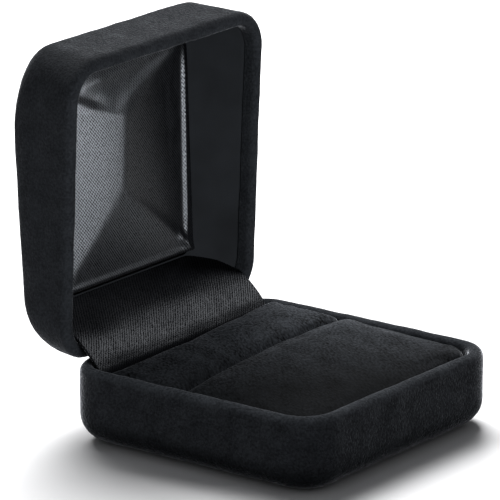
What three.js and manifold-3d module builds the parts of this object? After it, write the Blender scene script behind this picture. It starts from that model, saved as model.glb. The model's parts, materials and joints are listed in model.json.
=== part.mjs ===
// A small square ring box with a sprung, hinged lid, shown open.
// Millimetres, +Z up. The origin is the centre of the base's underside, +Y is the hinge side.
import * as THREE from 'three';
import { ParametricGeometry } from 'three/addons/geometries/ParametricGeometry.js';
import { mergeVertices } from 'three/addons/utils/BufferGeometryUtils.js';
import Module from 'manifold-3d';

const wasm = await Module();
wasm.setup();

// ---- driving dimensions ----
const halfSide = 29;
const cornerRadius = 8;
const baseHeight = 14.6;
const baseBottomRound = 5.3;
const lidFrontHeight = 18.1;
const lidRearHeight = 11.35;
const lidEdgeRound = 6.2;
const lidSideTaper = 0.15;
const seamGap = 0.3;
const openAngle = THREE.MathUtils.degToRad(87);

// layers of each half, from the outside in
const clearance = 0.3;
const velvetThickness = 0.5;
const shellThickness = 1.1;
const shellOutside = velvetThickness + clearance;
const shellInside = shellOutside + shellThickness;
const turnInOutside = shellInside + clearance;
const turnInInside = turnInOutside + velvetThickness;
const rimRound = 1.6;
const baseTurnInDepth = 4.5;
const lidTurnInDepth = 2.5;

// the hinge, whose axis runs along X just above the rear wall of the base
const hingeAxis = { y: 28.2, z: baseHeight + seamGap / 2 };
const pinRadius = 0.35;
const pinEnd = 0.2;
const boreRadius = 0.55;
const knuckleRadius = 0.9;
const notchRadius = 1.25;
const hingeHalfLength = 13;
const notchHalfLength = 13.5;
const middleKnuckleHalf = 4.7;
const leafThickness = 0.45;
const leafReach = 6.4;
const rivetX = 9;
const rivetReach = 4;
const rivetRadius = 0.7;

// the two pads, which meet at the ring's slit
const padHalfWidth = 25.8;
const padBottom = 3.4;
const coverThickness = 0.6;
const wallRound = 2.2;
const slitRound = 1.2;
const frontPad = {
  front: { y: -25.8, height: 12.5, corner: 5.4, round: wallRound },
  rear: { y: 4.3, height: 13.1, corner: 1.6, round: slitRound },
  peak: 0,
  crown: 2.2,
};
const rearPad = {
  front: { y: 4.7, height: 13, corner: 1.6, round: slitRound },
  rear: { y: 22.2, height: 13.3, corner: 1.6, round: slitRound },
  peak: 13.4,
  crown: 1.5,
};

// the satin panel in the lid
const panelHalfWidth = 20.5;
const panelFront = -21.5;
const panelRear = 19.5;
const panelCrown = 2;

const colours = {
  velvet: { color: 0x1c1d20, roughness: 0.95, metalness: 0 },
  satin: { color: 0x4a4c50, roughness: 0.4, metalness: 0 },
  lining: { color: 0x232528, roughness: 0.8, metalness: 0 },
  shell: { color: 0x2a2a2c, roughness: 0.5, metalness: 0 },
  foam: { color: 0x8d8d88, roughness: 1, metalness: 0 },
  card: { color: 0xa89878, roughness: 0.9, metalness: 0 },
  steel: { color: 0xb4b6ba, roughness: 0.35, metalness: 0.9 },
};

// ---- bodies made of rings ----
// A ring is a rounded rectangle: half its width, its front and rear, its corner radii and its height.
const cornerSteps = 7;

function ring(halfWidth, front, rear, corner, height) {
  const radii = typeof corner === 'number' ? { front: corner, rear: corner } : corner;
  return { halfWidth, front, rear, radii, height };
}

function squareRing(inset, height) {
  const half = halfSide - inset;
  return ring(half, -half, half, Math.max(cornerRadius - inset, 0.8), height);
}

function centrePoint(y, height) {
  return ring(0, y, y, 0, height);
}

// a point on the corner of one quarter of the ring, at `share` of the way round that corner
function cornerPoint(shape, quarter, share) {
  const angle = (quarter + share) * Math.PI / 2;
  const atRear = quarter < 2;
  const limit = Math.min(shape.halfWidth, (shape.rear - shape.front) / 2);
  const radius = Math.min(atRear ? shape.radii.rear : shape.radii.front, limit);
  const side = quarter === 0 || quarter === 3 ? 1 : -1;
  const centreY = atRear ? shape.rear - radius : shape.front + radius;
  return new THREE.Vector2(
    side * (shape.halfWidth - radius) + radius * Math.cos(angle), centreY + radius * Math.sin(angle));
}

function ringPoint(shape, quarter, step, sideSteps) {
  if (step <= cornerSteps) return cornerPoint(shape, quarter, step / cornerSteps);
  const next = cornerPoint(shape, (quarter + 1) % 4, 0);
  return cornerPoint(shape, quarter, 1).lerp(next, (step - cornerSteps) / sideSteps);
}

function ringBody(rings, sideSteps = 1) {
  const quarterSteps = cornerSteps + sideSteps;
  const last = rings.length - 1;
  const surface = (u, v, target) => {
    const shape = rings[Math.round(v * last)];
    const index = Math.round(u * 4 * quarterSteps);
    const { x, y } = ringPoint(shape, Math.floor(index / quarterSteps) % 4, index % quarterSteps, sideSteps);
    target.set(x, y, typeof shape.height === 'number' ? shape.height : shape.height(x, y));
  };
  return closedBody(new ParametricGeometry(surface, 4 * quarterSteps, last));
}

function arc(count, makeRing) {
  return Array.from({ length: count + 1 }, (_, step) => makeRing(step / count * Math.PI / 2));
}

// ---- solids ----
function closedBody(geometry) {
  geometry.deleteAttribute('normal');
  geometry.deleteAttribute('uv');
  const merged = mergeVertices(geometry, 1e-4);
  const corners = merged.index.array;
  const kept = [];
  for (let i = 0; i < corners.length; i += 3) {
    const [a, b, c] = corners.slice(i, i + 3);
    if (a !== b && b !== c && c !== a) kept.push(a, b, c);
  }
  merged.setIndex(kept);
  return merged;
}

function solid(geometry) {
  const body = geometry.index && !geometry.attributes.uv ? geometry : closedBody(geometry);
  return new wasm.Manifold(new wasm.Mesh({
    numProp: 3,
    vertProperties: new Float32Array(body.attributes.position.array),
    triVerts: new Uint32Array(body.index.array),
  }));
}

function geometryOf(body) {
  const mesh = body.getMesh();
  const geometry = new THREE.BufferGeometry();
  geometry.setAttribute('position', new THREE.BufferAttribute(mesh.vertProperties, 3));
  geometry.setIndex(new THREE.BufferAttribute(mesh.triVerts, 1));
  return geometry;
}

function box(x0, x1, y0, y1, z0, z1) {
  const geometry = new THREE.BoxGeometry(x1 - x0, y1 - y0, z1 - z0);
  geometry.translate((x0 + x1) / 2, (y0 + y1) / 2, (z0 + z1) / 2);
  return solid(geometry);
}

function rodAlongX(radius, x0, x1, y, z, sides = 24) {
  const geometry = new THREE.CylinderGeometry(radius, radius, x1 - x0, sides);
  geometry.rotateZ(Math.PI / 2);
  geometry.translate((x0 + x1) / 2, y, z);
  return solid(geometry);
}

function rodAlongY(radius, x, y0, y1, z, sides = 20) {
  const geometry = new THREE.CylinderGeometry(radius, radius, y1 - y0, sides);
  geometry.translate(x, (y0 + y1) / 2, z);
  return solid(geometry);
}

// A sheet of even thickness: the strip between a line drawn in the YZ plane and its offset, along X.
function bentStrip(line, halfWidth, thickness) {
  const side = (point, tangent, distance) => new THREE.Vector2(
    point.x - tangent.y * distance, point.y + tangent.x * distance);
  const steps = 24;
  const points = [];
  for (const [distance, order] of [[thickness / 2, 1], [-thickness / 2, -1]]) {
    for (let i = 0; i <= steps; i += 1) {
      const u = (order > 0 ? i : steps - i) / steps;
      points.push(side(line.getPointAt(u), line.getTangentAt(u), distance));
    }
  }
  const geometry = new THREE.ExtrudeGeometry(new THREE.Shape(points), {
    depth: 2 * halfWidth, bevelEnabled: false });
  // the drawing's x and y become Y and Z, and the extrusion runs along X
  geometry.applyMatrix4(new THREE.Matrix4().set(0, 0, 1, -halfWidth, 1, 0, 0, 0, 0, 1, 0, 0, 0, 0, 0, 1));
  return solid(geometry);
}

// ---- the base's outer surface, or one that lies deeper by an offset ----
const bottomSteps = 6;
const rimSteps = 4;

function baseBottom(offset) {
  const round = baseBottomRound - offset;
  return arc(bottomSteps, (angle) => squareRing(
    offset + round * (1 - Math.sin(angle)), offset + round * (1 - Math.cos(angle))));
}

// the rounded rim, from the outside at `outside` over the top to the inside at `inside`
function baseRim(outside, inside) {
  const top = baseHeight - outside;
  const outerRound = rimRound - outside;
  const innerRound = inside - rimRound;
  const outer = arc(rimSteps, (angle) => squareRing(
    outside + outerRound * (1 - Math.cos(angle)), top - outerRound * (1 - Math.sin(angle))));
  const inner = arc(rimSteps, (angle) => squareRing(
    rimRound + innerRound * Math.sin(angle), top - innerRound * (1 - Math.cos(angle))));
  return [...outer, ...inner.slice(1)];
}

function baseVelvet() {
  const turnInEnd = baseHeight - baseTurnInDepth;
  return ringBody([
    centrePoint(0, 0),
    ...baseBottom(0),
    ...baseRim(0, turnInInside),
    squareRing(turnInInside, turnInEnd),
    squareRing(turnInOutside, turnInEnd),
    ...baseRim(velvetThickness, turnInOutside).reverse(),
    ...baseBottom(velvetThickness).reverse(),
    centrePoint(0, velvetThickness),
  ]);
}

function baseShell() {
  return ringBody([
    centrePoint(0, shellOutside),
    ...baseBottom(shellOutside),
    ...baseRim(shellOutside, shellInside),
    ...baseBottom(shellInside).reverse(),
    centrePoint(0, shellInside),
  ]);
}

// ---- the lid, drawn shut with its rim on z = 0; its top slopes down to the hinge ----
const lidSteps = 8;
const lidTopCorner = 9.6;
const lidRoundReach = { side: 1.4, front: 12, rear: 2 };

function lidTop(y) {
  const share = (y + halfSide) / (2 * halfSide);
  return lidFrontHeight + (lidRearHeight - lidFrontHeight) * share;
}

function lidUpper(offset) {
  const round = lidEdgeRound - offset;
  const shrink = round / lidEdgeRound;
  return arc(lidSteps, (angle) => {
    const drawnIn = shrink * (1 - Math.cos(angle));
    const corner = cornerRadius + (lidTopCorner - cornerRadius) * angle / (Math.PI / 2) - offset;
    return ring(
      halfSide - offset - lidRoundReach.side * drawnIn,
      -halfSide + offset + lidRoundReach.front * drawnIn,
      halfSide - offset - lidRoundReach.rear * drawnIn,
      corner,
      (x, y) => lidTop(y) - offset - round * (1 - Math.sin(angle)));
  });
}

// the lid's rim, mirrored from the base's: outside at `outside`, over the edge, inside at `inside`
function lidRim(outside, inside) {
  return baseRim(outside, inside).map((shape) => ({ ...shape, height: baseHeight - shape.height }));
}

// the lid narrows from side to side as it rises
function taperSides(body) {
  return body.warp((vertex) => {
    vertex[0] *= 1 - lidSideTaper * vertex[2] / halfSide;
  });
}

function lidVelvet() {
  return taperSides(solid(ringBody([
    centrePoint(0, lidTop(0)),
    ...lidUpper(0).reverse(),
    ...lidRim(0, turnInInside),
    squareRing(turnInInside, lidTurnInDepth),
    squareRing(turnInOutside, lidTurnInDepth),
    ...lidRim(velvetThickness, turnInOutside).reverse(),
    ...lidUpper(velvetThickness),
    centrePoint(0, lidTop(0) - velvetThickness),
  ].reverse())));
}

function lidShell() {
  return taperSides(solid(ringBody([
    centrePoint(0, lidTop(0) - shellOutside),
    ...lidUpper(shellOutside).reverse(),
    ...lidRim(shellOutside, shellInside),
    ...lidUpper(shellInside),
    centrePoint(0, lidTop(0) - shellInside),
  ].reverse())));
}

// The wall lining leans in from under the rim's turn-in to the edge of the satin panel.
const liningThickness = 0.6;
const liningStart = lidTurnInDepth + clearance;
const liningBehindPanel = 3.4;
const liningCorner = 3;
const liningMargin = 0.6;
const taperAllowance = 1.5;

function wallLining() {
  const steps = 5;
  const side = (outward) => Array.from({ length: steps + 1 }, (_, step) => {
    const share = step / steps;
    const lower = turnInOutside + liningThickness - outward;
    const margin = liningMargin + outward;
    const between = (start, end) => start + (end - start) * share;
    return ring(
      between(halfSide - lower, panelHalfWidth + taperAllowance + margin),
      between(-halfSide + lower, panelFront - margin),
      between(halfSide - lower, panelRear + margin),
      between(cornerRadius - lower, liningCorner + outward),
      (x, y) => between(liningStart, lidTop(y) - liningBehindPanel));
  });
  const outer = side(liningThickness);
  return taperSides(solid(ringBody([...outer, ...side(0).reverse(), outer[0]], steps)));
}

// ---- the satin panel: drawn with z = 0 on the lid's top plane and its face pointing down ----
const panelTilt = Math.atan((lidFrontHeight - lidRearHeight) / (2 * halfSide));
const panelMiddle = (panelFront + panelRear) / 2;
const panelHalfDepth = (panelRear - panelFront) / 2;
const panelCorner = 2;
const cardTop = -turnInOutside;
const cardThickness = 0.6;
const cardInset = 0.9;
const satinThickness = 0.3;
const satinTop = -2.4;
const satinBevel = 0.7;
const panelFace = -3.9;
const waddingInset = 3.2;
const pillowInsets = [2.5, 6, 10, 15];

function panelRing(inset, height) {
  const half = panelHalfDepth - inset;
  return ring(panelHalfWidth - inset, -half, half, Math.max(panelCorner - inset, 0.6), height);
}

function pillow(x, y) {
  const across = 1 - (x / panelHalfWidth) ** 2;
  const along = 1 - (y / panelHalfDepth) ** 2;
  return -panelCrown * Math.max(across * along, 0);
}

function pillowRings(edge, insets) {
  return insets.map((inset) => panelRing(inset, (x, y) => edge + pillow(x, y)));
}

function satinPanel() {
  const insets = [satinBevel, ...pillowInsets];
  const outside = pillowRings(panelFace, insets);
  const inside = pillowRings(panelFace + satinThickness, insets);
  return ringBody([
    centrePoint(0, panelFace - panelCrown),
    ...outside.reverse(),
    panelRing(satinBevel * 0.3, panelFace + satinBevel * 0.3),
    panelRing(0, panelFace + satinBevel),
    panelRing(0, satinTop),
    panelRing(satinThickness, satinTop),
    panelRing(satinThickness, panelFace + satinBevel + satinThickness),
    ...inside,
    centrePoint(0, panelFace + satinThickness - panelCrown),
  ]);
}

function wadding() {
  const top = cardTop - cardThickness - clearance;
  const edge = panelFace + satinThickness + clearance;
  const surface = pillowRings(edge, [waddingInset, ...pillowInsets.slice(1)]);
  return ringBody([
    centrePoint(0, edge - panelCrown),
    ...surface.reverse(),
    panelRing(waddingInset, top),
    centrePoint(0, top),
  ]);
}

function lidCard() {
  return ringBody([
    centrePoint(0, cardTop - cardThickness),
    panelRing(cardInset, cardTop - cardThickness),
    panelRing(cardInset, cardTop),
    centrePoint(0, cardTop),
  ]);
}

// ---- the pads ----
const padSideSteps = 6;
const smallestCorner = 0.6;

// the height of a pad's top: it rises from its front edge to its rear one, and bulges in the middle
function padTop({ front, rear, peak, crown }, x, y) {
  const ramp = THREE.MathUtils.mapLinear(y, front.y, rear.y, front.height, rear.height);
  const reach = Math.max(peak - front.y, rear.y - peak);
  return ramp + crown * (1 - (x / padHalfWidth) ** 2) * (1 - ((y - peak) / reach) ** 2);
}

// A pad's outline, set in by an even offset and then by a share of the rounding of its edges.
function padRing(pad, offset, share, drop) {
  const { front, rear } = pad;
  const sideInset = offset + wallRound * share;
  const frontInset = offset + front.round * share;
  const rearInset = offset + rear.round * share;
  return ring(padHalfWidth - sideInset, front.y + frontInset, rear.y - rearInset, {
    front: Math.max(front.corner - frontInset, smallestCorner),
    rear: Math.max(rear.corner - rearInset, smallestCorner),
  }, (x, y) => padTop(pad, x, y) - drop);
}

function padRings(pad, offset) {
  const edge = arc(4, (angle) => padRing(
    pad, offset, 1 - Math.cos(angle), offset + (wallRound - offset) * (1 - Math.sin(angle))));
  const middle = (pad.front.y + pad.rear.y) / 2;
  const halfLength = (pad.rear.y - pad.front.y) / 2 - offset - wallRound;
  const inner = [0.35, 0.6, 0.85].map((share) => padRing(pad, offset + share * halfLength, 1, offset));
  return [...edge, ...inner, centrePoint(middle, padTop(pad, 0, middle) - offset)];
}

function padBase(pad, inset, height) {
  return { ...padRing(pad, inset, 0, 0), height };
}

function padCover(pad) {
  return ringBody([
    padBase(pad, coverThickness, padBottom),
    padBase(pad, 0, padBottom),
    ...padRings(pad, 0),
    ...padRings(pad, coverThickness).reverse(),
    padBase(pad, coverThickness, padBottom),
  ], padSideSteps);
}

function padFoam(pad) {
  const inset = coverThickness + clearance;
  return ringBody([
    centrePoint((pad.front.y + pad.rear.y) / 2, padBottom),
    padBase(pad, inset, padBottom),
    ...padRings(pad, inset),
  ], padSideSteps);
}

// the card that both pads are glued to, on the floor of the shell
const boardHalfSide = 24.3;
const boardGap = 0.4;

function insertBoard() {
  const bottom = shellInside + clearance;
  const top = padBottom - boardGap;
  const outline = (height) => squareRing(halfSide - boardHalfSide, height);
  return ringBody([centrePoint(0, bottom), outline(bottom), outline(top), centrePoint(0, top)]);
}

// ---- the hinge: each leaf is drawn for the base, and the lid's is its mirror image ----
const leafFront = halfSide - turnInInside + 0.05;
const plateBottom = hingeAxis.z - knuckleRadius;
const leafEnd = plateBottom - leafReach + leafThickness;
const rivetZ = hingeAxis.z - seamGap / 2 - rivetReach;
const notchTop = hingeAxis.z + 1;

function leaf(knuckles) {
  const rear = leafFront + leafThickness;
  let body = box(-hingeHalfLength, hingeHalfLength, leafFront, rear, leafEnd, plateBottom + leafThickness);
  for (const [x0, x1] of knuckles) {
    body = body.add(box(x0, x1, leafFront, hingeAxis.y, plateBottom, plateBottom + leafThickness));
    body = body.add(rodAlongX(knuckleRadius, x0, x1, hingeAxis.y, hingeAxis.z));
  }
  body = body.subtract(rodAlongX(boreRadius, -halfSide, halfSide, hingeAxis.y, hingeAxis.z));
  return cutRivetHoles(body);
}

function cutRivetHoles(body) {
  const holeRadius = rivetRadius + clearance;
  for (const x of [-rivetX, rivetX]) {
    body = body.subtract(rodAlongY(holeRadius, x, leafFront - 1, halfSide - velvetThickness, rivetZ));
  }
  return body;
}

const rivetHead = { radius: 1.4, thickness: 0.35 };
const rivetEndGap = 0.15;

function rivet(x) {
  const headRear = leafFront - clearance;
  const headFront = headRear - rivetHead.thickness;
  const shankEnd = halfSide - shellOutside - rivetEndGap;
  return rodAlongY(rivetHead.radius, x, headFront, headRear, rivetZ)
    .add(rodAlongY(rivetRadius, x, headFront, shankEnd, rivetZ));
}

// the room that the hinge takes out of the velvet, the shell and the lining
function hingeNotch() {
  const front = leafFront - clearance;
  return rodAlongX(notchRadius, -notchHalfLength, notchHalfLength, hingeAxis.y, hingeAxis.z)
    .add(box(-notchHalfLength, notchHalfLength, front, hingeAxis.y,
      plateBottom - clearance, notchTop))
    .add(box(-notchHalfLength, notchHalfLength, front, leafFront + leafThickness + clearance,
      leafEnd - clearance, notchTop));
}

// the lid's pieces are drawn from its rim, so the hinge's are turned over into that place
function mirrorToLid(body) {
  return body.mirror([0, 0, 1]).translate([0, 0, baseHeight]);
}

const springHalfWidth = 4;
const springThickness = 0.3;
const springInset = 2.3;
const springReach = 5;

// The snap spring: a flat strip up the lower leaf, round the axis, and along the upper leaf.
function springLine() {
  const { y, z } = hingeAxis;
  const line = new THREE.CurvePath();
  const bend = new THREE.Path().absarc(y, z, springInset, Math.PI, Math.PI - openAngle, true);
  const end = bend.getPoint(1);
  const along = new THREE.Vector2(Math.sin(openAngle), Math.cos(openAngle)).multiplyScalar(springReach);
  const foot = new THREE.Vector2(y - springInset, z - springReach);
  line.add(new THREE.LineCurve(foot, new THREE.Vector2(y - springInset, z)));
  line.add(bend.curves[0]);
  line.add(new THREE.LineCurve(end, end.clone().add(along)));
  return line;
}

// The apron: satin from the foot of the lid's panel, over the hinge, to behind the rear pad.
const apronHalfWidth = 25.4;
const apronUpperHalfWidth = 20.4;
const apronThickness = 0.35;
const apronTop = 35.2;
const apronNarrowsFrom = 29.5;

function apronLine() {
  return new THREE.SplineCurve([
    new THREE.Vector2(apronTop, 22.9),
    new THREE.Vector2(31.6, 20.5),
    new THREE.Vector2(27.4, 18.1),
    new THREE.Vector2(23.8, 15.3),
    new THREE.Vector2(22.8, 12.6),
    new THREE.Vector2(22.8, 6),
  ]);
}

// the apron is as wide as the base at the hinge and as narrow as the panel at its upper end
function apron() {
  const narrowing = 1 - apronUpperHalfWidth / apronHalfWidth;
  return bentStrip(apronLine(), apronHalfWidth, apronThickness).warp((vertex) => {
    const share = Math.max(vertex[1] - apronNarrowsFrom, 0) / (apronTop - apronNarrowsFrom);
    vertex[0] *= 1 - narrowing * share;
  });
}

// ---- assembly ----
function piece(name, geometry, look) {
  geometry.computeVertexNormals();
  const mesh = new THREE.Mesh(geometry, new THREE.MeshStandardMaterial(look));
  mesh.name = name;
  return mesh;
}

function basePieces() {
  const notch = hingeNotch();
  const lowerKnuckles = [
    [-hingeHalfLength, -middleKnuckleHalf - clearance],
    [middleKnuckleHalf + clearance, hingeHalfLength],
  ];
  const pinHalfLength = hingeHalfLength + pinEnd;
  return [
    piece('base_velvet', geometryOf(solid(baseVelvet()).subtract(notch)), colours.velvet),
    piece('base_shell', geometryOf(cutRivetHoles(solid(baseShell()).subtract(notch))), colours.shell),
    piece('insert_board', insertBoard(), colours.card),
    piece('front_foam', padFoam(frontPad), colours.foam),
    piece('rear_foam', padFoam(rearPad), colours.foam),
    piece('front_pad_cover', padCover(frontPad), colours.velvet),
    piece('rear_pad_cover', padCover(rearPad), colours.velvet),
    piece('hinge_lower_leaf', geometryOf(leaf(lowerKnuckles)), colours.steel),
    piece('hinge_pin', geometryOf(rodAlongX(
      pinRadius, -pinHalfLength, pinHalfLength, hingeAxis.y, hingeAxis.z)), colours.steel),
    piece('hinge_spring', geometryOf(bentStrip(springLine(), springHalfWidth, springThickness)), colours.steel),
    piece('hinge_apron', geometryOf(apron()), colours.satin),
    piece('lower_rivet_left', geometryOf(rivet(-rivetX)), colours.steel),
    piece('lower_rivet_right', geometryOf(rivet(rivetX)), colours.steel),
  ];
}

function lidPieces() {
  const notch = mirrorToLid(hingeNotch());
  const upperKnuckle = [[-middleKnuckleHalf, middleKnuckleHalf]];
  const roomFront = panelRear + 1;
  const hingeRoom = box(-notchHalfLength, notchHalfLength, roomFront, halfSide, 0, leafReach);
  const lining = wallLining().subtract(hingeRoom);
  const shell = cutLidRivetHoles(lidShell().subtract(notch));
  return [
    piece('lid_velvet', geometryOf(lidVelvet().subtract(notch)), colours.velvet),
    piece('lid_shell', geometryOf(shell), colours.shell),
    piece('lid_wall_lining', geometryOf(lining), colours.lining),
    piece('hinge_upper_leaf', geometryOf(mirrorToLid(leaf(upperKnuckle))), colours.steel),
    piece('upper_rivet_left', geometryOf(mirrorToLid(rivet(-rivetX))), colours.steel),
    piece('upper_rivet_right', geometryOf(mirrorToLid(rivet(rivetX))), colours.steel),
  ];
}

function cutLidRivetHoles(body) {
  return mirrorToLid(cutRivetHoles(mirrorToLid(body)));
}

function panelPieces() {
  const panel = new THREE.Group();
  panel.position.set(0, panelMiddle, lidTop(panelMiddle));
  panel.rotation.x = -panelTilt;
  panel.add(
    piece('lid_card', lidCard(), colours.card),
    piece('lid_wadding', wadding(), colours.foam),
    piece('lid_satin_panel', satinPanel(), colours.satin));
  return panel;
}

const base = new THREE.Group();
base.add(...basePieces());

// the lid turns about the hinge's axis; its pieces sit in a group that is drawn from its rim
const lidDrawing = new THREE.Group();
lidDrawing.position.set(0, -hingeAxis.y, seamGap / 2);
lidDrawing.add(...lidPieces(), panelPieces());

const lid = new THREE.Group();
lid.position.set(0, hingeAxis.y, hingeAxis.z);
lid.rotation.x = -openAngle;
lid.add(lidDrawing);

const ringBox = new THREE.Group();
ringBox.add(base, lid);

export default ringBox;
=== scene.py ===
import json
import math

import bmesh
import bpy
import numpy as np
from mathutils import Matrix, Vector, noise


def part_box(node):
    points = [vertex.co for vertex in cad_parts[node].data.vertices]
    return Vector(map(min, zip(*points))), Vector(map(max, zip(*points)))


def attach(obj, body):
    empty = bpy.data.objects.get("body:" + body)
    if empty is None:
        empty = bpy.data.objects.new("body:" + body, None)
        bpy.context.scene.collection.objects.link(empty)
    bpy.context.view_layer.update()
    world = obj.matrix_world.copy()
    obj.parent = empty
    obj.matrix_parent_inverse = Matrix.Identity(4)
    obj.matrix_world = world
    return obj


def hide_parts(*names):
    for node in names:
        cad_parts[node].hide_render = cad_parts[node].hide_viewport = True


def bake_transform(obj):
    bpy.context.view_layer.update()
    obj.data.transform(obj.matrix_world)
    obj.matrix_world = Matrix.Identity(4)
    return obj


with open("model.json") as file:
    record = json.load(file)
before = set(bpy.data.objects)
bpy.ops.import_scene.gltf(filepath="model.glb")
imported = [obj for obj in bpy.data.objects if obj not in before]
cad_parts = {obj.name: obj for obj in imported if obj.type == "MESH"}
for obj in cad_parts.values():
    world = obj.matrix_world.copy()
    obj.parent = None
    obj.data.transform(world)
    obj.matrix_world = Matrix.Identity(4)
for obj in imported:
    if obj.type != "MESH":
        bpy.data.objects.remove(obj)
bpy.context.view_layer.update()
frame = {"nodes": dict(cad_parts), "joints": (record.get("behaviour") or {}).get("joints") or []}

MM = 0.001

# ---- the part's dimensions, in millimetres ----
base_low, base_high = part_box("base_velvet")
HALF_SIDE = base_high.x / MM
BASE_HEIGHT = base_high.z / MM
CORNER_RADIUS = 8
BOTTOM_ROUND = 5.3
RIM_ROUND = 1.6
TURN_IN = 2.7
SKIN = 0.5
BASE_TURN_IN_DEPTH = 4.5

LID_FRONT_HEIGHT = 18.1
LID_REAR_HEIGHT = 11.35
LID_EDGE_ROUND = 6.2
LID_TOP_CORNER = 9.6
LID_ROUND_REACH = {"side": 1.4, "front": 12, "rear": 2}
LID_SIDE_TAPER = 0.15
LID_TURN_IN_DEPTH = 2.5
SEAM_GAP = 0.3

hinge = next(joint for joint in frame["joints"] if joint["name"] == "lid_hinge")
HINGE_Y = hinge["pos_m"][1] / MM
HINGE_Z = hinge["pos_m"][2] / MM
OPEN_ANGLE = math.radians(hinge["range_deg"][1])
KNUCKLE_ROOM = 1.25
HINGE_ROOM_HALF = 13.5
LEAF_ROOM_FRONT = 26
LEAF_ROOM_REAR = 27.1
LEAF_ROOM_BOTTOM = 6.3
ROOM_ABOVE_PIN = 1
SHELF_BELOW_PIN = 1.2

PANEL_FRONT = -21.5
PANEL_REAR = 19.5
PANEL_BEHIND_TOP = 3.9
PANEL_BACK_BEHIND_TOP = 2.4

PAD_HALF_WIDTH = 25.8
PAD_BOTTOM = 3.4
PAD_SET_IN = -0.3
LEAST_PAD_CORNER = 0.6
LEAN_RIGHT = 1.7
LEAN_LEFT = 0.4
WALL_ROUND = 1.2
SLIT_ROUND = 1.2
REAR_SLIT_ROUND = 2.6
FRONT_PAD = {"front": (-25.8, 12.5, 5.4, WALL_ROUND), "rear": (4.3, 13.1, 1.6, SLIT_ROUND),
             "peak": 0, "crown": 2.2}
REAR_PAD = {"front": (4.7, 13.0, 2.6, REAR_SLIT_ROUND), "rear": (22.2, 13.3, 1.6, SLIT_ROUND),
            "peak": 13.4, "crown": 1.5}

APRON_LINE = [(37.2, 23.2), (34.5, 22.0), (31.2, 20.4), (28, 18.5), (25.3, 16.2), (23.6, 14.2),
              (22.8, 12.2), (22.7, 6)]
APRON_HALF_WIDTH = 25.4
APRON_UPPER_HALF_WIDTH = 20.4
APRON_NARROWS_FROM = 29.5
APRON_THICKNESS = 0.25
APRON_SLACK = 0.3
APRON_SLACK_FROM = 13
APRON_SLACK_HEIGHT = 10
RIPPLE_SIZE = 9
RIPPLE_STRETCH = 1.5
RIPPLE_SEED = 40


# ---- outlines and lofted bodies ----
CORNER_STEPS = 10
SIDE_STEPS = 40
CAP_END = 0.01
ROD_SIDES = 32


def outline(half_width, front, rear, corner_front, corner_rear):
    """Points round a rounded rectangle, anticlockwise from its front right corner."""
    corners = [
        (half_width - corner_front, front + corner_front, corner_front, -90),
        (half_width - corner_rear, rear - corner_rear, corner_rear, 0),
        (-half_width + corner_rear, rear - corner_rear, corner_rear, 90),
        (-half_width + corner_front, front + corner_front, corner_front, 180),
    ]
    arcs = []
    for x, y, radius, start in corners:
        angles = np.radians(np.linspace(start, start + 90, CORNER_STEPS + 1))
        arcs.append(np.column_stack([x + radius * np.cos(angles), y + radius * np.sin(angles)]))
    points = []
    for arc, following in zip(arcs, arcs[1:] + arcs[:1]):
        side = np.linspace(arc[-1], following[0], SIDE_STEPS + 1)[1:-1]
        points += [arc, side]
    return np.vstack(points)


def ring(half_width, front, rear, corner, height):
    """An outline at a height, which is a number or a function of x and y."""
    corner_front, corner_rear = corner if isinstance(corner, tuple) else (corner, corner)
    flat = outline(half_width, front, rear, corner_front, corner_rear)
    level = height(flat[:, 0], flat[:, 1]) if callable(height) else np.full(len(flat), float(height))
    return np.column_stack([flat, level])


def square_ring(inset, height):
    half = HALF_SIDE - inset
    return ring(half, -half, half, CORNER_RADIUS - inset, height)


def cap(edge, steps, height=None):
    """Rings that close an open end, from its edge to near its centre."""
    centre = edge.mean(axis=0)
    rings = []
    for share in np.linspace(1, 0, steps + 1)[1:]:
        inner = centre + (edge - centre) * max(share, CAP_END)
        if height is not None:
            inner[:, 2] = height(inner[:, 0], inner[:, 1])
        rings.append(inner)
    return rings


def loft(rings):
    """Vertices and faces of the closed body whose skin runs through the rings in order."""
    count = len(rings[0])
    faces = []
    for row in range(len(rings) - 1):
        for step in range(count):
            a = row * count + step
            b = row * count + (step + 1) % count
            faces.append((a, b, b + count, a + count))
    last = (len(rings) - 1) * count
    faces.append(tuple(reversed(range(count))))
    faces.append(tuple(last + step for step in range(count)))
    return np.vstack(rings), faces


def quarter(steps):
    """Angles from 0 to a right angle."""
    return np.linspace(0, math.pi / 2, steps + 1)


def metres(point):
    return tuple(value * MM for value in point)


def new_piece(name, points, faces):
    """A smooth-shaded object from points in millimetres."""
    mesh = bpy.data.meshes.new(name)
    mesh.from_pydata((np.asarray(points) * MM).tolist(), [], faces)
    tidy = bmesh.new()
    tidy.from_mesh(mesh)
    bmesh.ops.recalc_face_normals(tidy, faces=tidy.faces)
    tidy.to_mesh(mesh)
    tidy.free()
    mesh.shade_smooth()
    piece = bpy.data.objects.new(name, mesh)
    bpy.context.scene.collection.objects.link(piece)
    return piece


def two_sided(rows, columns):
    """Faces of a thin sheet: a grid of cells, its copy behind it, and the edge between them."""
    count = columns + 1
    total = (rows + 1) * count
    faces = []
    for i in range(rows):
        for j in range(columns):
            a = i * count + j
            quad = (a, a + 1, a + count + 1, a + count)
            faces.append(quad)
            faces.append(tuple(total + k for k in reversed(quad)))
    border = [i * count for i in range(rows)]
    border += [rows * count + j for j in range(columns)]
    border += [i * count + columns for i in range(rows, 0, -1)]
    border += list(range(columns, 0, -1))
    for a, b in zip(border, border[1:] + border[:1]):
        faces.append((a, b, b + total, a + total))
    return faces


def points_of(piece):
    flat = np.zeros(len(piece.data.vertices) * 3)
    piece.data.vertices.foreach_get("co", flat)
    return flat.reshape(-1, 3) / MM


def normals_of(piece):
    flat = np.zeros(len(piece.data.vertices) * 3, np.float32)
    piece.data.vertex_normals.foreach_get("vector", flat)
    return flat.reshape(-1, 3).astype(float)


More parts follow.
